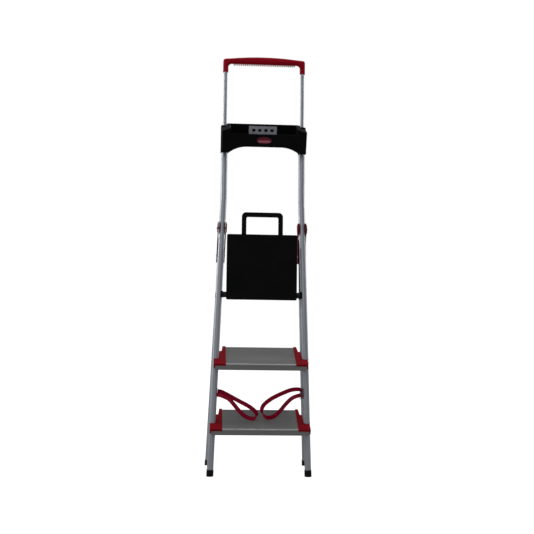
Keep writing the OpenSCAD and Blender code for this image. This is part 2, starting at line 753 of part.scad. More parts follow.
// Radius of the grip's crowned top
crown_r = (grip_half*grip_half + pow(grip_crown - grip_end, 2))/(2*(grip_crown - grip_end));
module grip() {
    color([0.5, 0.03, 0.07])
    in_stile_frame() difference() {
        union() {
            translate([0, grip_depth/2, 0]) rotate([90, 0, 0]) linear_extrude(grip_depth) difference() {
                intersection() {
                    translate([0, grip_crown - crown_r]) circle(crown_r, $fn = 360);
                    translate([-grip_half, grip_s - inner_corner]) square([2*grip_half, 60]);
                }
                translate([0, grip_s - 60 + inner_corner/2])
                    square([2*(top_half - sleeve_r - inner_corner), 120 - inner_corner], center = true);
                translate([-(top_half - sleeve_r), grip_s - 60 - inner_corner])
                    square([2*(top_half - sleeve_r), 60]);
                for (side = sides)
                    translate([side*(top_half - sleeve_r - inner_corner), grip_s - inner_corner])
                        circle(inner_corner);
            }
            for (side = sides) translate([side*top_half, 0, sleeve_low])
                cylinder(r = sleeve_r, h = 40);
            // comb of short fins under the bar
            for (x = [-fin_end:fin_pitch:fin_end])
                slab([x - fin_t/2, -8, grip_s - fin_h], [x + fin_t/2, 8, grip_s + 1]);
        }
        for (side = sides) translate([side*top_half, 0, sleeve_low - 10]) {
            cylinder(r = rail_r + 0.05, h = rail_high - sleeve_low + 10.1);
            translate([0, 0, rail_rivet_s - sleeve_low + 10]) rotate([0, 0, 90])
                bar_x(rail_rivet_r + 0.1, -20, 20);
        }
    }
}
module grip_rivets() {
    color([0.7, 0.7, 0.72])
    in_stile_frame() for (side = sides) translate([side*top_half, 0, rail_rivet_s]) rotate([0, 0, 90]) {
        bar_x(rail_rivet_r, -sleeve_r - 0.1, sleeve_r + 0.1);
        for (out = sides) rotate([0, out*90, 0]) translate([0, 0, sleeve_r + 0.02]) rivet_head(2.4);
    }
}

stile(-1);  // stile_left
stile(1);  // stile_right
front_foot(-1);  // front_foot_left
front_foot(1);  // front_foot_right
tread(0);  // tread_lower
tread(1);  // tread_upper
cap(0, -1);  // cap_lower_left
cap(0, 1);  // cap_lower_right
cap(1, -1);  // cap_upper_left
cap(1, 1);  // cap_upper_right
tread_rivets();
tray();
tray_plate();
tray_badge();
tray_screws();
rail_bush(-1);  // rail_bush_left
rail_bush(1);  // rail_bush_right
platform_tube();
tube_saddle(-1);  // tube_saddle_left
tube_saddle(1);  // tube_saddle_right
pivot_pin(-1);  // pivot_pin_left
pivot_pin(1);  // pivot_pin_right
strap(left_route, -1);  // strap_left
strap(right_route, 1);  // strap_right
front_strap_anchors();
bracket(-1);  // bracket_left
bracket(1);  // bracket_right
rear_arm(-1);  // rear_arm_left
rear_arm(1);  // rear_arm_right
rear_leg(-1);  // rear_leg_left
rear_leg(1);  // rear_leg_right
rear_bar();
rear_brace(0);  // rear_brace_upper
rear_brace(1);  // rear_brace_lower
rear_foot(-1);  // rear_foot_left
rear_foot(1);  // rear_foot_right
bracket_rivets();
rear_strap_anchors();
platform_panel();
platform_bail();
hinge_clip(-1);  // hinge_clip_left
hinge_clip(1);  // hinge_clip_right
platform_screws();
rail_tube(-1);  // rail_tube_left
rail_tube(1);  // rail_tube_right
rail_glide(-1);  // rail_glide_left
rail_glide(1);  // rail_glide_right
grip();
grip_rivets();
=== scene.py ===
"""Looks of the step ladder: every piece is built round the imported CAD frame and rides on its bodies.

Shapes are drawn in millimetres in the same local frames as the part (stiles, rear legs, treads, tray)
and are placed in the row frame, in metres, by that frame's matrix.
"""

import json
import math

import bmesh
import bpy
from mathutils import Matrix, Vector


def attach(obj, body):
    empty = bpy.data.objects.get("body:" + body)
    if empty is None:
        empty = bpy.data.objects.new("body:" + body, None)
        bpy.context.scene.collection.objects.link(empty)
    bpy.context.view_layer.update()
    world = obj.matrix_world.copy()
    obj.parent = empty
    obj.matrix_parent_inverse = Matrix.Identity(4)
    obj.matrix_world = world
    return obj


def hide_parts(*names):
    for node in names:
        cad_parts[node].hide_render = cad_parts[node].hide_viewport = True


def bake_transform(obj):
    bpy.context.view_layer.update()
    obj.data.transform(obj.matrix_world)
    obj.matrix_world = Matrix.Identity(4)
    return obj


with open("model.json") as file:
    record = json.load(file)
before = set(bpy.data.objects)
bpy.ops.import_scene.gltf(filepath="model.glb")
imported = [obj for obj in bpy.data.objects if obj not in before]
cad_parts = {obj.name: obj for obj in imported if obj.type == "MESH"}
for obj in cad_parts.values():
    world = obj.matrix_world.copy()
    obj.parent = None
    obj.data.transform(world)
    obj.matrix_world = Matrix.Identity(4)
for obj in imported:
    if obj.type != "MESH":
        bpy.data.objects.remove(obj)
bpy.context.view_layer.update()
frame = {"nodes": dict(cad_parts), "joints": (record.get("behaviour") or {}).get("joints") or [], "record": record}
joints = {j["name"]: j for j in frame["joints"]}

# ---- Driving dimensions, in millimetres and degrees; S is a height measured up the stile ---------------
LEAN = 5.5
# The treads and the tray tilt this far from square to the stiles
OPEN_LEAN = 24
LEG_LEN = 956
LEG_OFFSET = 30
TUBE_R = 12.5
FOOT_HALF = 188.5
TOP_HALF = 153.3
BEND_S = 1075
STILE_TOP = 1350
TREAD_S = (181, 427)
TREAD_DEPTH = 162
TREAD_DROP = 26
TREAD_FRONT = -54.4
BARE_HALF = (145, 134.6)
CAP_HALF = (192, 181)
CAP_REAR_HALF = (160, 151)
TRAY_S = 1300
TRAY_FRONT = -68
SIDES = (("left", -1), ("right", 1))

FLARE = math.atan((FOOT_HALF - TOP_HALF) / BEND_S)
REAR_LEAN = math.radians(LEAN) - math.atan(LEG_OFFSET / LEG_LEN)


def stile_x(s):
    """Distance of a stile's axis from the middle, at height s up the stile."""
    return TOP_HALF + max(0, BEND_S - s) * (FOOT_HALF - TOP_HALF) / BEND_S


# ---- Local frames: matrices from millimetres there to metres in the row frame ----------------------------
def turn_x(degrees):
    """A turn about x."""
    return Matrix.Rotation(math.radians(degrees), 4, "X")


def move(x, y, z):
    """A shift."""
    return Matrix.Translation((x, y, z))


MM = Matrix.Scale(0.001, 4)
PIVOT = Vector(joints["rear_hinge"]["pos_m"]) * 1000
SHIFT_Y = PIVOT.y - LEG_LEN * math.sin(math.radians(LEAN))
STILE = MM @ move(0, SHIFT_Y, 0) @ turn_x(-LEAN)
LEG = MM @ move(*PIVOT) @ Matrix.Rotation(REAR_LEAN, 4, "X")
TREADS = [STILE @ move(0, TREAD_FRONT, s) @ turn_x(OPEN_LEAN) for s in TREAD_S]
TRAY = STILE @ move(0, 0, TRAY_S) @ turn_x(OPEN_LEAN)


# ---- Camera, floor and light ---------------------------------------------------------------------------
CAMERA_PLACE = (-0.1937, -3.5001, 0.8072)
CAMERA_YAW = math.radians(3.51)
CAMERA_PITCH = math.radians(-0.09)
CAMERA_ROLL = math.radians(1.03)
CAMERA_LENS = 60.34
CAMERA_SENSOR = 36
# How brightly the floor shows to the camera, so that it meets the white background
FLOOR_GLOW = 0.9
# Name, place, target, size in metres, power in watts
SOFTBOXES = (("left_softbox", (-3.4, 0.8, 1.9), (0, 0, 0.9), (1.2, 2.4), 46),
             ("right_softbox", (3.4, 1.6, 2.0), (0, 0, 0.9), (1.2, 2.4), 32),
             ("top_softbox", (0, 0.2, 4.2), (0, 0, 0.5), (2.2, 2.2), 36),
             ("front_softbox", (-1.6, -4.6, 2.6), (0, 0, 0.8), (2.0, 2.0), 16))


def add_camera():
    """The photograph's viewpoint: level, a little from the left, with a slight roll."""
    camera = bpy.data.objects.new("camera", bpy.data.cameras.new("camera"))
    bpy.context.scene.collection.objects.link(camera)
    camera.data.sensor_width = CAMERA_SENSOR
    camera.data.lens = CAMERA_LENS
    across = math.cos(CAMERA_PITCH)
    ahead = Vector((math.sin(CAMERA_YAW) * across, math.cos(CAMERA_YAW) * across, math.sin(CAMERA_PITCH)))
    level = ahead.to_track_quat("-Z", "Y").to_matrix()
    camera.matrix_world = (Matrix.Translation(CAMERA_PLACE)
                           @ level.to_4x4() @ Matrix.Rotation(CAMERA_ROLL, 4, "Z"))
    bpy.context.scene.camera = camera


add_camera()


def add_floor():
    """A wide pale floor. It looks nearly white, yet throws back only the light of a pale grey one."""
    bpy.ops.mesh.primitive_circle_add(vertices=96, radius=60, fill_type="NGON", location=(0, 0, -0.0005))
    floor = bpy.context.object
    floor.name = "floor"
    look = Look("floor_white", (0.42, 0.42, 0.42), 0.9)
    speck = look.noise(40, 3)
    look.set("Base Color", look.mix(speck, (0.41, 0.41, 0.41), (0.43, 0.43, 0.43)))
    look.bsdf.inputs["Specular IOR Level"].default_value = 0.1
    look.bsdf.inputs["Emission Color"].default_value = (1, 1, 1, 1)
    seen = look.add("ShaderNodeLightPath").outputs["Is Camera Ray"]
    look.set("Emission Strength", look.math("MULTIPLY", seen, FLOOR_GLOW))
    floor.data.materials.append(look.material)


def add_area_light(name, place, target, size, power):
    """A rectangular softbox aimed at a point."""
    lamp = bpy.data.lights.new(name, "AREA")
    lamp.shape = "RECTANGLE"
    lamp.size, lamp.size_y = size
    lamp.energy = power
    obj = bpy.data.objects.new(name, lamp)
    bpy.context.scene.collection.objects.link(obj)
    obj.location = place
    obj.rotation_euler = (Vector(target) - Vector(place)).to_track_quat("-Z", "Y").to_euler()


def add_light():
    """Soft light, strongest from both sides; the background itself is white."""
    scene = bpy.context.scene
    scene.view_settings.view_transform = "Standard"
    world = bpy.data.worlds.new("studio")
    scene.world = world
    world.use_nodes = True
    tree = world.node_tree
    tree.nodes.clear()
    out = tree.nodes.new("ShaderNodeOutputWorld")
    mixer = tree.nodes.new("ShaderNodeMixShader")
    seen = tree.nodes.new("ShaderNodeBackground")
    seen.inputs["Color"].default_value = (1, 1, 1, 1)
    seen.inputs["Strength"].default_value = 1.0
    soft = tree.nodes.new("ShaderNodeBackground")
    soft.inputs["Color"].default_value = (0.93, 0.96, 1.0, 1)
    soft.inputs["Strength"].default_value = 0.3
    path = tree.nodes.new("ShaderNodeLightPath")
    tree.links.new(path.outputs["Is Camera Ray"], mixer.inputs["Fac"])
    tree.links.new(soft.outputs[0], mixer.inputs[1])
    tree.links.new(seen.outputs[0], mixer.inputs[2])
    tree.links.new(mixer.outputs[0], out.inputs["Surface"])
    for softbox in SOFTBOXES:
        add_area_light(*softbox)


# ---- Procedural materials --------------------------------------------------------------------------------
class Look:
    """A Principled material with short helpers for the nodes that vary its colour, gloss and relief."""

    def __init__(self, name, colour, roughness, metallic=0.0):
        self.material = bpy.data.materials.new(name)
        self.material.use_nodes = True
        self.tree = self.material.node_tree
        self.bsdf = self.tree.nodes["Principled BSDF"]
        self.bsdf.inputs["Base Color"].default_value = (*colour, 1)
        self.bsdf.inputs["Roughness"].default_value = roughness
        self.bsdf.inputs["Metallic"].default_value = metallic
        self.place = self.add("ShaderNodeTexCoord").outputs["Object"]

    def add(self, kind, **settings):
        """A new node, with its own settings."""
        node = self.tree.nodes.new(kind)
        for key, value in settings.items():
            setattr(node, key, value)
        return node

    def feed(self, socket, value):
        """Links an output, or sets a constant."""
        if isinstance(value, bpy.types.NodeSocket):
            self.tree.links.new(value, socket)
        else:
            socket.default_value = value

    def set(self, name, value):
        """Sets or links one of the shader's sockets."""
        self.feed(self.bsdf.inputs[name], value)

    def stretched(self, stretch):
        """Object coordinates scaled along each axis; under 1 draws a pattern out along that axis."""
        mapping = self.add("ShaderNodeMapping")
        self.feed(mapping.inputs["Vector"], self.place)
        mapping.inputs["Scale"].default_value = stretch
        return mapping.outputs["Vector"]

    def noise(self, scale, detail=2.0, stretch=None):
        """Noise with about as many features to the metre as its scale says."""
        node = self.add("ShaderNodeTexNoise")
        self.feed(node.inputs["Vector"], self.place if stretch is None else self.stretched(stretch))
        node.inputs["Scale"].default_value = scale
        node.inputs["Detail"].default_value = detail
        return node.outputs["Fac"]

    def span(self, value, low, high, to_low=0.0, to_high=1.0):
        """Maps low..high of a value to to_low..to_high, clamped."""
        node = self.add("ShaderNodeMapRange")
        self.feed(node.inputs["Value"], value)
        ends = {"From Min": low, "From Max": high, "To Min": to_low, "To Max": to_high}
        for socket, number in ends.items():
            node.inputs[socket].default_value = number
        return node.outputs["Result"]

    def math(self, operation, a, b=0.0):
        """A sum, product or sine of outputs or numbers."""
        node = self.add("ShaderNodeMath", operation=operation)
        self.feed(node.inputs[0], a)
        self.feed(node.inputs[1], b)
        return node.outputs[0]

    def mix(self, share, a, b):
        """A colour between a and b."""
        node = self.add("ShaderNodeMix", data_type="RGBA")
        self.feed(node.inputs["Factor"], share)
        # inputs 6 and 7 are the Mix node's two colours, and output 2 is the mixed one
        for socket, value in ((node.inputs[6], a), (node.inputs[7], b)):
            self.feed(socket, value if isinstance(value, bpy.types.NodeSocket) else (*value, 1))
        return node.outputs[2]

    def axis(self, letter):
        """One object coordinate, in metres."""
        node = self.add("ShaderNodeSeparateXYZ")
        self.feed(node.inputs[0], self.place)
        return node.outputs[letter]

    def relief(self, height, depth):
        """Bump with its depth in metres."""
        bump = self.add("ShaderNodeBump")
        self.feed(bump.inputs["Height"], height)
        bump.inputs["Strength"].default_value = 1.0
        bump.inputs["Distance"].default_value = depth
        self.set("Normal", bump.outputs["Normal"])


def coated_tube_look(name, dark, light, roughness):
    """Silver coated steel: faint orange peel, long soft streaks, and scuffs near the floor."""
    look = Look(name, light, roughness, 0.8)
    streaks = look.noise(60, 3, (1, 1, 0.03))
    cloud = look.noise(9, 3)
    colour = look.mix(look.span(streaks, 0.3, 0.7), dark, light)
    near_floor = look.span(look.axis("Z"), 0.16, 0.02)
    scuff = look.math("MULTIPLY", look.span(look.noise(160, 5), 0.6, 0.75), near_floor)
    look.set("Base Color", look.mix(scuff, colour, tuple(0.6 * c for c in dark)))
    look.set("Roughness", look.span(cloud, 0.3, 0.7, roughness - 0.04, roughness + 0.05))
    look.relief(look.noise(1400, 2), 0.00003)
    return look.material


def moulded_look(name, dark, light, roughness, grain=0.00003, shine=0.3):
    """Moulded plastic or painted steel: fine grain, faint clouding and patches of different gloss."""
    look = Look(name, light, roughness)
    cloud = look.noise(22, 4)
    look.set("Base Color", look.mix(look.span(cloud, 0.3, 0.7), dark, light))
    look.set("Roughness", look.span(look.noise(70, 4), 0.3, 0.7, roughness - 0.06, roughness + 0.08))
    look.bsdf.inputs["Specular IOR Level"].default_value = shine
    look.relief(look.noise(2200, 3), grain)
    return look.material


def bare_metal_look(name, dark, light, roughness, stretch):
    """Metal drawn or brushed along one axis, with fine scratches."""
    look = Look(name, light, roughness, 0.9)
    grain = look.noise(420, 4, stretch)
    look.set("Base Color", look.mix(look.span(grain, 0.3, 0.7), dark, light))
    look.set("Roughness", look.span(look.noise(55, 4), 0.3, 0.7, roughness - 0.08, roughness + 0.1))
    look.relief(grain, 0.00005)
    return look.material


def tread_look():
    """Grey extruded tread: drawn lines along the tread, bands of tone and dull patches."""
    look = Look("tread_metal", (0.3, 0.29, 0.28), 0.46, 0.55)
    lines = look.noise(260, 4, (0.006, 1, 1))
    bands = look.noise(38, 2, (0.02, 1, 1))
    colour = look.mix(look.span(lines, 0.3, 0.7), (0.25, 0.243, 0.235), (0.33, 0.322, 0.312))
    look.set("Base Color", look.mix(look.span(bands, 0.35, 0.75), colour, (0.29, 0.283, 0.274)))
    look.set("Roughness", look.span(look.noise(35, 4, (0.1, 1, 1)), 0.3, 0.7, 0.42, 0.54))
    look.relief(lines, 0.00004)
    return look.material


# The webbing's pitches in millimetres: of its ribs, measured along the band, and of its threads, across it
WEAVE_ROW = 1.5
WEAVE_THREAD = 1.9


def webbing_look():
    """Woven webbing: ribs across the band, twill threads along it, with painted shade in the hollows between the
    threads.
    """
    look = Look("webbing", (0.3, 0.003, 0.02), 0.75)
    look.bsdf.inputs["Specular IOR Level"].default_value = 0.1
    # UV is in millimetres along and across the band
    uv = look.add("ShaderNodeTexCoord").outputs["UV"]
    split = look.add("ShaderNodeSeparateXYZ")
    look.feed(split.inputs[0], uv)
    along, across = split.outputs["X"], split.outputs["Y"]
    rows = look.math("SINE", look.math("MULTIPLY", along, 2 * math.pi / WEAVE_ROW))
    slant = look.math("MULTIPLY", along, math.pi / WEAVE_ROW)
    straight = look.math("MULTIPLY", across, 2 * math.pi / WEAVE_THREAD)
    threads = look.math("SINE", look.math("ADD", straight, slant))
    weave = look.math("MULTIPLY", rows, threads)
    weave = look.span(weave, -1, 1)
    fibres = look.noise(900, 3)
    height = look.math("ADD", weave, look.math("MULTIPLY", fibres, 0.5))
    # the colour follows the weave's height: painted shade in the hollows between the threads, lighter on their
    # tops
    colour = look.mix(weave, (0.2, 0.001, 0.014), (0.46, 0.003, 0.04))
    look.set("Base Color", look.mix(look.span(look.noise(25, 3), 0.35, 0.75), colour, (0.3, 0.002, 0.025)))
    look.relief(height, 0.00025)
    return look.material


def rubber_look():
    """Black rubber with dust in soft patches."""
    look = Look("foot_rubber", (0.006, 0.006, 0.0065), 0.72)
    look.bsdf.inputs["Specular IOR Level"].default_value = 0.25
    dust = look.span(look.noise(45, 5), 0.5, 0.75)
    look.set("Base Color", look.mix(dust, (0.005, 0.005, 0.0055), (0.014, 0.0135, 0.013)))
    look.set("Roughness", look.span(look.noise(120, 3), 0.3, 0.7, 0.62, 0.85))
    look.relief(look.noise(1500, 3), 0.0001)
    return look.material


# A moulded look has a name, a dark and a light tone, roughness, depth of grain in metres, and shine
LOOKS = {
    "silver": coated_tube_look("silver_coated_steel", (0.44, 0.465, 0.5), (0.5, 0.525, 0.56), 0.44),
    "rail": coated_tube_look("rail_coated_steel", (0.41, 0.43, 0.455), (0.48, 0.50, 0.53), 0.4),
    "tread": tread_look(),
    "red": moulded_look("red_moulding", (0.26, 0.0012, 0.008), (0.31, 0.002, 0.011), 0.45, 0.00002, 0.06),
    "grip": moulded_look("grip_moulding", (0.38, 0.0015, 0.012), (0.45, 0.0025, 0.016), 0.45,
                         0.00002, 0.08),
    "dark_red": moulded_look("dark_red_moulding", (0.2, 0.003, 0.014), (0.26, 0.005, 0.02), 0.5,
                             0.00002, 0.08),
    # the nosing's lighter metal is a painted highlight along the treads' front edges
    "nosing": bare_metal_look("nosing_painted_highlight", (0.4, 0.4, 0.392), (0.48, 0.48, 0.47), 0.5, (0.02, 1, 1)),
    "black": moulded_look("black_moulding", (0.004, 0.004, 0.0045), (0.006, 0.006, 0.0065), 0.58,
                          0.00002, 0.07),
    "arm": moulded_look("black_coated_steel", (0.008, 0.008, 0.01), (0.015, 0.015, 0.018), 0.36),
    "rubber": rubber_look(),
    "zinc": bare_metal_look("plated_steel", (0.42, 0.42, 0.44), (0.58, 0.58, 0.6), 0.34, (1, 1, 1)),
    "screw": bare_metal_look("blackened_steel", (0.05, 0.05, 0.052), (0.09, 0.09, 0.092), 0.4, (1, 1, 1)),
    "plate": moulded_look("satin_plate", (0.6, 0.6, 0.64), (0.7, 0.7, 0.74), 0.5, 0.00001, 0.4),
    "badge": moulded_look("badge_gloss", (0.15, 0.002, 0.014), (0.2, 0.004, 0.02), 0.3, 0.00001, 0.4),
    "badge_bar": moulded_look("badge_bar", (0.5, 0.12, 0.17), (0.58, 0.16, 0.21), 0.4, 0.00001, 0.4),
    "webbing": webbing_look(),
}
SLOT_LOOKS = {"frame": "silver", "foot": "rubber", "tread": "tread", "red_plastic": "red", "rivet": "zinc",
              "tray": "black", "plate": "plate", "badge": "badge", "screw": "screw", "bush": "black",
              "black_tube": "arm", "webbing": "webbing", "panel": "black", "rail": "rail"}


def dress_cad_nodes():
    """Every CAD node takes the look of its slot; the ones replaced below just aren't shown."""
    for part in frame["record"]["subparts"]:
        obj = frame["nodes"][part["node"]]
        obj.data.materials.clear()
        obj.data.materials.append(LOOKS[SLOT_LOOKS[part["material_slot"]]])


dress_cad_nodes()
# the grip's rivets take the grip's colour
frame["nodes"]["grip_rivets"].data.materials[0] = LOOKS["grip"]
add_floor()
add_light()

# ---- Mesh helpers ----------------------------------------------------------------------------------------
# An edge that turns by more than this, in degrees, counts as sharp
SHARP = 32
TUBE_SEGMENTS = 48


def finish_piece(name, bm, body, look, replaces=(), sharp=SHARP, weighted=True):
    """Makes a shown piece of a bmesh that is already in the row frame, and rides it on its body."""
    bmesh.ops.recalc_face_normals(bm, faces=bm.faces)
    mesh = bpy.data.meshes.new(name)
    bm.to_mesh(mesh)
    bm.free()
    mesh.polygons.foreach_set("use_smooth", [True] * len(mesh.polygons))
    mesh.set_sharp_from_angle(angle=math.radians(sharp))
    mesh.materials.append(LOOKS[look])
    obj = bpy.data.objects.new(name, mesh)
    bpy.context.scene.collection.objects.link(obj)
    if weighted:
        obj.modifiers.new("even_normals", "WEIGHTED_NORMAL").keep_sharp = True
    if replaces:
        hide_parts(*replaces)
    if body:
        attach(obj, body)
    return obj


def round_edges(bm, width):
    """Rounds every sharp edge; the width is in metres."""
    limit = math.radians(SHARP)
    edges = [e for e in bm.edges if len(e.link_faces) == 2 and e.calc_face_angle(0) > limit]
    bmesh.ops.bevel(bm, geom=edges, offset=width, offset_type="OFFSET", segments=2,
                    profile=0.5, affect="EDGES", clamp_overlap=True)


def softened(name, node, body, look, width):
    """A CAD node's shape with its edges rounded by a width in millimetres."""
    bm = bmesh.new()
    bm.from_mesh(frame["nodes"][node].data)
    bmesh.ops.remove_doubles(bm, verts=bm.verts, dist=1e-6)
    bmesh.ops.dissolve_limit(bm, angle_limit=math.radians(0.8), verts=bm.verts, edges=bm.edges)
    round_edges(bm, width * 0.001)
    finish_piece(name, bm, body, look, (node,))


def loft(bm, rings):
    """Closed rings of points joined in order into a skin, with flat ends."""
    made = [[bm.verts.new(p) for p in ring] for ring in rings]
    count = len(made[0])
    for near, far in zip(made, made[1:]):
        for k in range(count):
            bm.faces.new((near[k], near[(k + 1) % count], far[(k + 1) % count], far[k]))
    bm.faces.new(list(reversed(made[0])))
    bm.faces.new(made[-1])
    return made


def direction(path, k):
    """Which way a path runs at its point k."""
    return (path[min(k + 1, len(path) - 1)] - path[max(k - 1, 0)]).normalized()


def prism(bm, outline, matrix, length):
    """An outline in a plane, pushed along that plane's normal."""
    loft(bm, [[matrix @ Vector((x, y, z)) for x, y in outline] for z in (0, length)])


def box(bm, low, high, matrix):
    """A block between two corners."""
    outline = ((low[0], low[1]), (high[0], low[1]), (high[0], high[1]), (low[0], high[1]))
    prism(bm, outline, matrix @ move(0, 0, low[2]), high[2] - low[2])


def merge(bm, other):
    """Adds another bmesh's faces."""
    made = {v: bm.verts.new(v.co) for v in other.verts}
    for face in other.faces:
        bm.faces.new([made[v] for v in face.verts])
    other.free()


def arc(cx, cy, r, start, end, steps):
    """Points of an arc, its angles in degrees."""
    turns = [math.radians(start + (end - start) * k / steps) for k in range(steps + 1)]
    return [(cx + r * math.cos(t), cy + r * math.sin(t)) for t in turns]


def tube_along(bm, path, radius, matrix):
    """A round bar along a path that stays near the x-z plane."""
    turns = [2 * math.pi * i / TUBE_SEGMENTS for i in range(TUBE_SEGMENTS)]
    rings = []
    for k, p in enumerate(path):
        ahead = direction(path, k)
        side = ahead.cross(Vector((0, 1, 0))).normalized()
        up = side.cross(ahead)
        rings.append([matrix @ (p + radius * (math.cos(t) * side + math.sin(t) * up)) for t in turns])
    loft(bm, rings)


def superellipse(half_w, half_h, power, steps):
    """Points round a rounded rectangle: power 2 is an ellipse, larger is squarer."""
    points = []
    for k in range(steps):
        t = 2 * math.pi * k / steps
        c, s = math.cos(t), math.sin(t)
        points.append((half_w * math.copysign(abs(c) ** (2 / power), c),
                       half_h * math.copysign(abs(s) ** (2 / power), s)))
    return points


# ---- Stiles --------------------------------------------------------------------------------------------
BEND_R = 900
BEND_STEPS = 8
# The shown stile starts inside its foot
STILE_LOW = 6


def stile_path(side):
    """The stile's axis with its bend as a large arc."""
    reach = BEND_R * math.tan(FLARE / 2)
    bend = Vector((side * TOP_HALF, 0, BEND_S))
    below = Vector((side * math.sin(FLARE), 0, -math.cos(FLARE)))
    path = [bend + below * ((BEND_S - STILE_LOW) / math.cos(FLARE)), bend + below * 400]
    centre = Vector((side * (TOP_HALF + BEND_R), 0, BEND_S + reach))
    for k in range(BEND_STEPS + 1):
        t = FLARE * (1 - k / BEND_STEPS)
        path.append(centre + Vector((-side * BEND_R * math.cos(t), 0, -BEND_R * math.sin(t))))
    path.append(Vector((side * TOP_HALF, 0, STILE_TOP)))
    return path


def add_stiles():
    """Both stiles, each a bent tube."""
    for name, side in SIDES:
        bm = bmesh.new()
        tube_along(bm, stile_path(side), TUBE_R, STILE)
        finish_piece(f"stile_tube_{name}", bm, "front_frame", "silver", (f"stile_{name}",),
                     60, False)


add_stiles()


# ---- Treads --------------------------------------------------------------------------------------------
TREAD_SKIN = 1.8
TREAD_LIP = 9
RIB_MARGIN = 7
RIB_PITCH = 4.75
GROOVE_W = 1.7
GROOVE_DEPTH = 0.8
METAL_INSET = 5.5
# Depth of the ends in front of the stiles, and share of the depth in front of the rear legs
NOTCH_FRONT = 42
NOTCH_REAR = 0.72
# Places of the two stiffening webs under the top
WEB_Y = (50, 100)
# From a profile's (back, up, along) to the tread's own x, y and z
LENGTHWISE = Matrix(((0, 0, 1, 0), (1, 0, 0, 0), (0, 1, 0, 0), (0, 0, 0, 1)))
# Side view of the strip along a tread's front edge; its lighter metal is a painted highlight on the nosing
NOSING = ((-0.12, -3.6), (0.25, -2.3), (0.95, -1.45), (4.6, 0.05), (4.6, -0.4), (1.0, -2.0), (0.4, -3.6))


def tread_top(depth):
    """Side view (back, up) of a tread's top: a sloped front edge, then grooves between ribs."""
    top = [(0, -3.4), (0.35, -2.4), (1.0, -1.6), (4.6, -0.1)]
    y = RIB_MARGIN
    while y < depth - RIB_MARGIN:
        top += [(y, 0), (y + 0.25, -0.55), (y + GROOVE_W / 2, -GROOVE_DEPTH),
                (y + GROOVE_W - 0.25, -0.55), (y + GROOVE_W, 0)]
        y += RIB_PITCH
    return top


def tread_outline(depth, rear_flange):
    """Side view of a tread: front flange with a drip groove and a lip, the top, and the rear flange."""
    nose = [(0, -6.2), (0.9, -6.9), (0.9, -8.0), (0, -8.7), (0, -TREAD_DROP + 2)]
    lip = arc(2, -TREAD_DROP + 2, 2, 180, 270, 3)
    lip += [(TREAD_LIP, -TREAD_DROP), (TREAD_LIP, -TREAD_DROP + 1.6)]
    inside = [(TREAD_SKIN, -TREAD_DROP + 1.6), (TREAD_SKIN, -2.9)]
    front = list(reversed(inside)) + list(reversed(lip)) + list(reversed(nose))
    if rear_flange:
        back = [(depth - 3, 0)] + [(depth - 3 + 3 * math.sin(a), -3 + 3 * math.cos(a))
                                   for a in (math.radians(18 * k) for k in range(1, 6))]
        low = -TREAD_DROP
        back += [(depth, low), (depth - TREAD_LIP, low), (depth - TREAD_LIP, low + TREAD_SKIN),
                 (depth - TREAD_SKIN, low + TREAD_SKIN), (depth - TREAD_SKIN, -2.9)]
    else:
        back = [(depth, 0), (depth, -2.9)]
    return front + tread_top(depth) + back


def add_tread(i, name):
    """The metal tread: a full-depth middle, and shallower ends that clear the stiles and rear legs."""
    stile_in = stile_x(TREAD_S[i]) - TUBE_R - 6
    rear_in = CAP_REAR_HALF[i] - 3
    ends = ((rear_in, stile_in, NOTCH_REAR * TREAD_DEPTH),
            (stile_in, CAP_HALF[i] - METAL_INSET, NOTCH_FRONT))
    bm = bmesh.new()
    middle = min(rear_in, stile_in)
    lengthwise = TREADS[i] @ LENGTHWISE
    prism(bm, tread_outline(TREAD_DEPTH, True), lengthwise @ move(0, 0, -middle), 2 * middle)
    for low, high, depth in ends:
        if high - low < 1:
            continue
        for side in (-1, 1):
            start = low if side > 0 else -high
            prism(bm, tread_outline(depth, False), lengthwise @ move(0, 0, start), high - low)
    for y in WEB_Y:
        box(bm, (-middle + 1, y, -12), (middle - 1, y + TREAD_SKIN, -1.5), TREADS[i])
    finish_piece(f"tread_plate_{name}", bm, "front_frame", "tread", (f"tread_{name}",), 38, False)
    # a lighter strip over the front edge: a painted highlight along the nosing
    bm = bmesh.new()
    half = BARE_HALF[i] - 0.4
    prism(bm, NOSING, lengthwise @ move(0, 0, -half), 2 * half)
    finish_piece(f"tread_nosing_{name}", bm, "front_frame", "nosing", (), 38, False)


add_tread(0, "lower")
add_tread(1, "upper")


# ---- Straps --------------------------------------------------------------------------------------------
# Middle lines of the straps from front to rear, as in the part, before its shift in y
LEFT_ROUTE = ((-160, 31, 320.5), (-147, 24, 318), (-112, 17, 301), (-78, 11, 284), (-43, 8, 266),
              (-20, 9, 248), (-12, 14, 232), (-18, 20, 219), (-35, 27, 217), (-55, 35, 223),
              (-77, 48, 240), (-98, 66, 262), (-118, 92, 280), (-144, 124, 288), (-167, 158, 289.5))
RIGHT_ROUTE = ((160, 31, 324), (150, 24, 331), (120, 15, 330), (89, 10, 319), (58, 6, 305),
               (33, 5, 290), (13, 8, 271), (6, 13, 250), (13, 19, 231), (32, 26, 220),
               (56, 33, 225), (79, 48, 242), (105, 74, 267), (133, 108, 285), (167, 158, 289.5))
STRAP_W = 16
STRAP_T = 1.7
ROUTE_STEPS = 10
# How far the webbing runs on at its front and rear end, into the tabs
STRAP_REACH = (3, 2)
FRONT_ANCHOR_S = 322
STRAP_DROP = 664
BAR_DROP = 267.5
ARM_FLARE = math.radians(1.95)
LEG_FLARE = math.radians(2.5)
# The folded strap end under each anchor
TAB_HALF = 19
TAB_T = 1.3
TAB_GAP = 1.75


def spline(a, b, c, d, u):
    """A Catmull-Rom curve's point between b and c, with a and d their neighbours."""
    bent = (2 * a - 5 * b + 4 * c - d) * u * u + (3 * b - a - 3 * c + d) * u ** 3
    return 0.5 * (2 * b + (c - a) * u + bent)


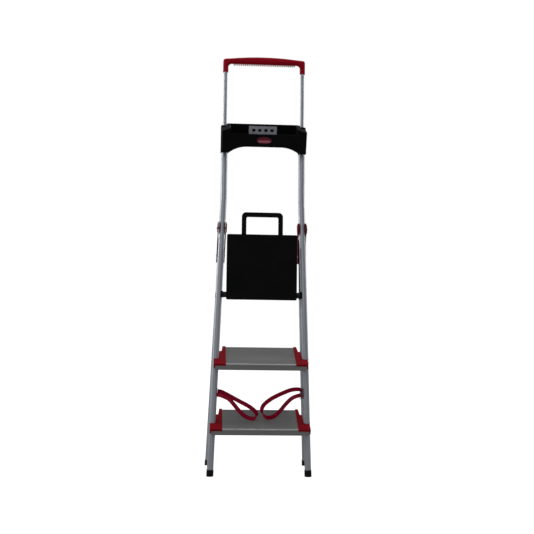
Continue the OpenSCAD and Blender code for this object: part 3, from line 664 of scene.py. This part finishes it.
def smooth_route(points):
    """A smooth line through the route's points."""
    p = [Vector(q) + Vector((0, SHIFT_Y, 0)) for q in points]
    path = []
    for k in range(len(p) - 1):
        a, d = p[max(k - 1, 0)], p[min(k + 2, len(p) - 1)]
        path += [spline(a, p[k], p[k + 1], d, j / ROUTE_STEPS) for j in range(ROUTE_STEPS)]
    return path + [p[-1]]


def add_strap(name, side, route):
    """Red webbing from a rivet on the stile, round its slack loop, to a rivet on the rear leg."""
    reach = (Vector((side * STRAP_REACH[0], 0, 0)), Vector((side * STRAP_REACH[1], 0, 0)))
    ends = (Vector(route[0]) + reach[0], Vector(route[-1]) + reach[1])
    path = smooth_route((ends[0], *route[1:-1], ends[1]))
    # the loop lies near one plane, and this is its normal
    normal = Vector((-side * 0.5, 0.17, 0.85))
    half = superellipse(STRAP_W / 2, STRAP_T / 2, 5, 16)
    bm = bmesh.new()
    rings, length = [], [0.0]
    for k, p in enumerate(path):
        ahead = direction(path, k)
        thin = ahead.cross(normal).normalized()
        wide = thin.cross(ahead)
        rings.append([MM @ (p + wide * a + thin * b) for a, b in half])
        if k:
            length.append(length[-1] + (p - path[k - 1]).length)
    made = loft(bm, rings)
    uv = bm.loops.layers.uv.new("weave")
    spot = {v: (length[k], half[j][0]) for k, ring in enumerate(made) for j, v in enumerate(ring)}
    for face in bm.faces:
        for corner in face.loops:
            corner[uv].uv = spot[corner.vert]
    obj = finish_piece(f"strap_webbing_{name}", bm, None, "webbing", (f"strap_{name}",),
                       50, False)
    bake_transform(obj)


def leg_x(drop):
    """Distance of a rear leg's axis from the middle, below the cross bar."""
    return stile_x(LEG_LEN) + BAR_DROP * math.tan(ARM_FLARE) + (drop - BAR_DROP) * math.tan(LEG_FLARE)


def add_strap_tab(name, side, body, matrix, x):
    """The folded end of a strap, flat against the inner side of a tube under its rivet."""
    bm = bmesh.new()
    inward = Matrix(((0, 0, -side, 0), (1, 0, 0, 0), (0, 1, 0, 0), (0, 0, 0, 1)))
    turned = matrix @ move(side * x, 0, 0) @ inward
    prism(bm, superellipse(STRAP_W / 2, TAB_HALF, 7, 28), turned, TAB_T)
    round_edges(bm, 0.0004)
    uv = bm.loops.layers.uv.new("weave")
    back = turned.inverted()
    for face in bm.faces:
        for corner in face.loops:
            spot = back @ corner.vert.co
            corner[uv].uv = (spot.y, spot.x)
    finish_piece(name, bm, body, "webbing", (), 50, False)


add_strap("left", -1, LEFT_ROUTE)
add_strap("right", 1, RIGHT_ROUTE)
for name, side in SIDES:
    add_strap_tab(f"strap_front_tab_{name}", side, "front_frame", STILE @ move(0, 0, FRONT_ANCHOR_S - 6),
                  stile_x(FRONT_ANCHOR_S) - TUBE_R - TAB_GAP)
    add_strap_tab(f"strap_rear_tab_{name}", side, "rear_frame", LEG @ move(0, LEG_OFFSET, -STRAP_DROP),
                  leg_x(STRAP_DROP) - TUBE_R - TAB_GAP)


# ---- Grip and badge --------------------------------------------------------------------------------------
GRIP_LOW = 1582.5
GRIP_S = 1618
GRIP_END = 1634
GRIP_CROWN = 1646
GRIP_DEPTH = 24
SLEEVE_R = 10.5
CORNER_R = 15
GRIP_HALF = TOP_HALF + SLEEVE_R
TOOTH_PITCH = 7.5
TOOTH_HALF_W = 2.1
TOOTH_HALF_DEPTH = 7.5
TEETH_EACH_SIDE = 16
# Shares of a half grip's stations where the sleeve ends and where the corner ends
SLEEVE_SHARE = 0.2
CORNER_SHARE = 0.6
STATIONS = 60


def crown(x):
    """Height of the grip's top, a long arc that drops towards both ends."""
    drop = GRIP_CROWN - GRIP_END
    r = (GRIP_HALF ** 2 + drop ** 2) / (2 * drop)
    return GRIP_CROWN - r + math.sqrt(r * r - x * x)


def grip_station(t):
    """Inner and outer edge of half the grip, and how far it has turned from sleeve to bar.

    t runs from 0 at the sleeve's end to 1 in the middle.
    """
    corner_x, corner_z = TOP_HALF - SLEEVE_R - CORNER_R, GRIP_S - CORNER_R
    if t < SLEEVE_SHARE:
        z = GRIP_LOW + (corner_z - GRIP_LOW) * t / SLEEVE_SHARE
        return (TOP_HALF - SLEEVE_R, z), (GRIP_HALF, z), 0
    if t < CORNER_SHARE:
        share = (t - SLEEVE_SHARE) / (CORNER_SHARE - SLEEVE_SHARE)
        a = math.radians(90 * share)
        c, s = math.cos(a), math.sin(a)
        # the outer corner is a squarish superellipse between the sleeve's side and the grip's top
        to_side = (GRIP_HALF - corner_x) / max(c, 1e-4)
        to_top = (crown(min(corner_x + 20 * c, GRIP_HALF)) - corner_z) / max(s, 1e-4)
        out = (to_side ** -9 + to_top ** -9) ** (-1 / 9)
        return ((corner_x + CORNER_R * c, corner_z + CORNER_R * s),
                (corner_x + out * c, corner_z + out * s), share)
    x = corner_x * (1 - (t - CORNER_SHARE) / (1 - CORNER_SHARE))
    return (x, GRIP_S), (x, crown(x)), 1


def add_grip():
    """The red grip: one skin from sleeve to sleeve, with a comb of teeth under the bar."""
    bm = bmesh.new()
    stations = [k / STATIONS for k in range(STATIONS + 1)]
    full = [(t, 1) for t in stations] + [(t, -1) for t in reversed(stations[:-1])]
    rings = []
    for t, side in full:
        (xi, zi), (xo, zo), share = grip_station(t)
        inner, outer = Vector((side * xi, 0, zi)), Vector((side * xo, 0, zo))
        middle, reach = (inner + outer) / 2, (outer - inner) / 2
        depth = SLEEVE_R + (GRIP_DEPTH / 2 - SLEEVE_R) * share
        ring = superellipse(1, depth, 2 + 0.9 * share, 32)
        rings.append([STILE @ (middle + reach * a + Vector((0, b, 0))) for a, b in ring])
    loft(bm, rings)
    for k in range(-TEETH_EACH_SIDE, TEETH_EACH_SIDE + 1):
        x = TOOTH_PITCH * k
        tooth = bmesh.new()
        box(tooth, (x - TOOTH_HALF_W, -TOOTH_HALF_DEPTH, GRIP_S - 6),
            (x + TOOTH_HALF_W, TOOTH_HALF_DEPTH, GRIP_S + 3), STILE)
        bmesh.ops.recalc_face_normals(tooth, faces=tooth.faces)
        round_edges(tooth, 0.0011)
        merge(bm, tooth)
    finish_piece("grip_moulding", bm, "guard_rail", "grip", ("grip",), 40, False)


add_grip()


def badge_layer(name, half_w, half_h, power, z, depths, look, replaces=()):
    """A raised shape on the tray's front, with a rounded edge; depths are its foot, shoulder and top."""
    bm = bmesh.new()
    foot, shoulder, top = depths
    rings = []
    for shrink, depth in ((0, foot), (0, shoulder), (0.25, top - 0.12), (0.7, top)):
        outline = superellipse(half_w - shrink, half_h - shrink, power, 56)
        rings.append([TRAY @ Vector((x, TRAY_FRONT - depth, z + y)) for x, y in outline])
    loft(bm, rings)
    finish_piece(name, bm, "front_frame", look, replaces)


badge_layer("badge_moulding", 29.5, 13, 2, 21.4, (0.02, 1.2, 1.6), "badge", ("tray_badge",))
badge_layer("badge_bar", 24, 4.6, 5, 17.6, (1.3, 2, 2.3), "badge_bar")

# ---- Parts that keep their CAD shape, with softened edges ----------------------------------------------
for word in ("lower", "upper"):
    for name, side in SIDES:
        softened(f"cap_{word}_moulding_{name}", f"cap_{word}_{name}", "front_frame",
                 "red", 0.5)
    softened(f"brace_{word}_tube", f"rear_brace_{word}", "rear_frame", "silver", 0.3)
softened("tray_moulding", "tray", "front_frame", "black", 0.9)
softened("plate_frame", "tray_plate", "front_frame", "plate", 0.25)
softened("panel_moulding", "platform_panel", "platform", "black", 0.8)
softened("bail_bar", "platform_bail", "platform", "black", 1.9)
softened("hinge_tube", "platform_tube", "front_frame", "arm", 0.3)
softened("rear_bar_tube", "rear_bar", "rear_frame", "arm", 0.4)
for name, side in SIDES:
    softened(f"bracket_cheeks_{name}", f"bracket_{name}", "rear_frame", "dark_red", 0.8)
    softened(f"saddle_{name}", f"tube_saddle_{name}", "front_frame", "black", 0.8)
    softened(f"front_foot_cup_{name}", f"front_foot_{name}", "front_frame", "rubber", 0.5)
    softened(f"rear_foot_cup_{name}", f"rear_foot_{name}", "rear_frame", "rubber", 0.5)
    softened(f"rear_leg_tube_{name}", f"rear_leg_{name}", "rear_frame", "silver", 0.4)
    softened(f"rear_arm_tube_{name}", f"rear_arm_{name}", "rear_frame", "arm", 0.4)
    softened(f"rail_tube_shell_{name}", f"rail_tube_{name}", "guard_rail", "rail", 0.3)
    softened(f"rail_collar_{name}", f"rail_bush_{name}", "front_frame", "black", 0.4)
